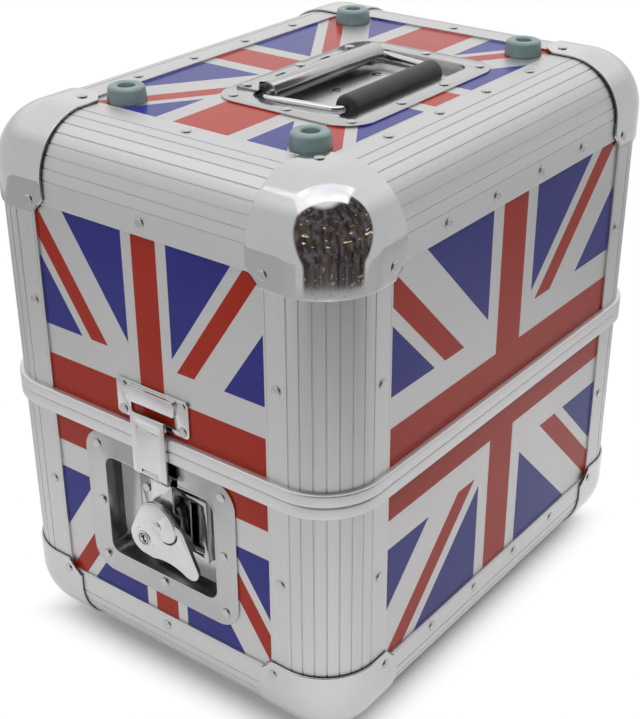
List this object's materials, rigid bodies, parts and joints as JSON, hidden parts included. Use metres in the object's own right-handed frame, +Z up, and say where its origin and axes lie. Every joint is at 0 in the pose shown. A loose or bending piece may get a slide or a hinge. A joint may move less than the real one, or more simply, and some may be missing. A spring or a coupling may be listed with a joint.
{
  "type": "record carrying case",
  "caption": "Upright record carrying case with reeded wide-radius edges, ball corners, a lift-off lid, draw latches at both ends and a folding top handle.",
  "frame": {"origin": "centre of the case on the ground, under the feet", "axes": "+X across the case to the side that the handle folds to, +Y along the case to the back latch, +Z up"},
  "size_m": [0.2862, 0.3786, 0.398],
  "materials": {
    "panel_laminate": "printed silver laminate on plywood, satin",
    "edge_aluminium": "reeded and brushed, satin",
    "band_aluminium": "brushed, satin",
    "corner_chrome": "bright plated steel sheet",
    "foot_rubber": "moulded, matt",
    "lining_foam": "soft dark pad",
    "rivet_steel": "bright plated rivets and screws",
    "grip_rubber": "matt black sleeve",
    "wire_chrome": "bright plated wire",
    "lock_chrome": "bright plated",
    "plated_steel": "bright zinc plated sheet steel"
  },
  "bodies": {
    "base": {"base_front_panel": "panel_laminate", "base_back_panel": "panel_laminate", "base_left_panel": "panel_laminate", "base_right_panel": "panel_laminate", "base_floor_panel": "panel_laminate", "base_edge_front_left": "edge_aluminium", "base_edge_front_right": "edge_aluminium", "base_edge_back_left": "edge_aluminium", "base_edge_back_right": "edge_aluminium", "base_edge_bottom_front": "edge_aluminium", "base_edge_bottom_back": "edge_aluminium", "base_edge_bottom_left": "edge_aluminium", "base_edge_bottom_right": "edge_aluminium", "base_band": "band_aluminium", "base_ball_corners": "corner_chrome", "base_feet": "foot_rubber", "base_fasteners": "rivet_steel", "base_foam": "lining_foam", "front_latch_dish": "plated_steel", "front_latch_bracket": "plated_steel", "front_latch_pivot": "plated_steel", "back_latch_dish": "plated_steel", "back_latch_bracket": "plated_steel", "back_latch_pivot": "plated_steel"},
    "lid": {"lid_front_panel": "panel_laminate", "lid_back_panel": "panel_laminate", "lid_left_panel": "panel_laminate", "lid_right_panel": "panel_laminate", "lid_top_panel": "panel_laminate", "lid_edge_front_left": "edge_aluminium", "lid_edge_front_right": "edge_aluminium", "lid_edge_back_left": "edge_aluminium", "lid_edge_back_right": "edge_aluminium", "lid_edge_top_front": "edge_aluminium", "lid_edge_top_back": "edge_aluminium", "lid_edge_top_left": "edge_aluminium", "lid_edge_top_right": "edge_aluminium", "lid_band": "band_aluminium", "lid_ball_corners": "corner_chrome", "lid_feet": "foot_rubber", "lid_fasteners": "rivet_steel", "lid_foam": "lining_foam", "handle_dish": "plated_steel", "handle_strap": "plated_steel", "front_keeper": "plated_steel", "back_keeper": "plated_steel"},
    "handle": {"handle_bail": "wire_chrome", "handle_grip": "grip_rubber"},
    "front_turn": {"front_latch_cam": "plated_steel", "front_latch_wing": "plated_steel"},
    "front_lock": {"front_lock_cylinder": "lock_chrome"},
    "front_link": {"front_latch_link": "plated_steel", "front_arm_pin": "plated_steel"},
    "front_arm": {"front_latch_arm": "plated_steel"},
    "back_turn": {"back_latch_cam": "plated_steel", "back_latch_wing": "plated_steel"},
    "back_lock": {"back_lock_cylinder": "lock_chrome"},
    "back_link": {"back_latch_link": "plated_steel", "back_arm_pin": "plated_steel"},
    "back_arm": {"back_latch_arm": "plated_steel"}
  },
  "joints": [
    {"name": "lid_lift", "type": "slide", "parent": "base", "child": "lid", "axis": [0, 0, 1], "range_m": [0, 0.25]},
    {"name": "handle_fold", "type": "hinge", "parent": "lid", "child": "handle", "pos_m": [-0.009, 0, 0.38235], "axis": [0, -1, 0], "range_deg": [0, 90]},
    {"name": "front_turn", "type": "hinge", "parent": "base", "child": "front_turn", "pos_m": [0, -0.1835, 0.1364], "axis": [0, 1, 0], "range_deg": [0, 180]},
    {"name": "front_key_turn", "type": "hinge", "parent": "front_turn", "child": "front_lock", "pos_m": [-0.012, -0.1835, 0.1224], "axis": [0, 1, 0], "range_deg": [0, 90]},
    {"name": "front_draw", "type": "slide", "parent": "base", "child": "front_link", "axis": [0, 0, 1], "range_m": [0, 0.006]},
    {"name": "front_arm_swing", "type": "hinge", "parent": "front_link", "child": "front_arm", "pos_m": [0, -0.1871, 0.1756], "axis": [1, 0, 0], "range_deg": [0, 40]},
    {"name": "back_turn", "type": "hinge", "parent": "base", "child": "back_turn", "pos_m": [0, 0.1835, 0.1364], "axis": [0, -1, 0], "range_deg": [0, 180]},
    {"name": "back_key_turn", "type": "hinge", "parent": "back_turn", "child": "back_lock", "pos_m": [0.012, 0.1835, 0.1224], "axis": [0, -1, 0], "range_deg": [0, 90]},
    {"name": "back_draw", "type": "slide", "parent": "base", "child": "back_link", "axis": [0, 0, 1], "range_m": [0, 0.006]},
    {"name": "back_arm_swing", "type": "hinge", "parent": "back_link", "child": "back_arm", "pos_m": [0, 0.1871, 0.1756], "axis": [-1, 0, 0], "range_deg": [0, 40]}
  ],
  "couplings": [
    {"joint": "front_draw", "follows": "front_turn", "m_per_rad": 0.0019098},
    {"joint": "back_draw", "follows": "back_turn", "m_per_rad": 0.0019098}
  ]
}
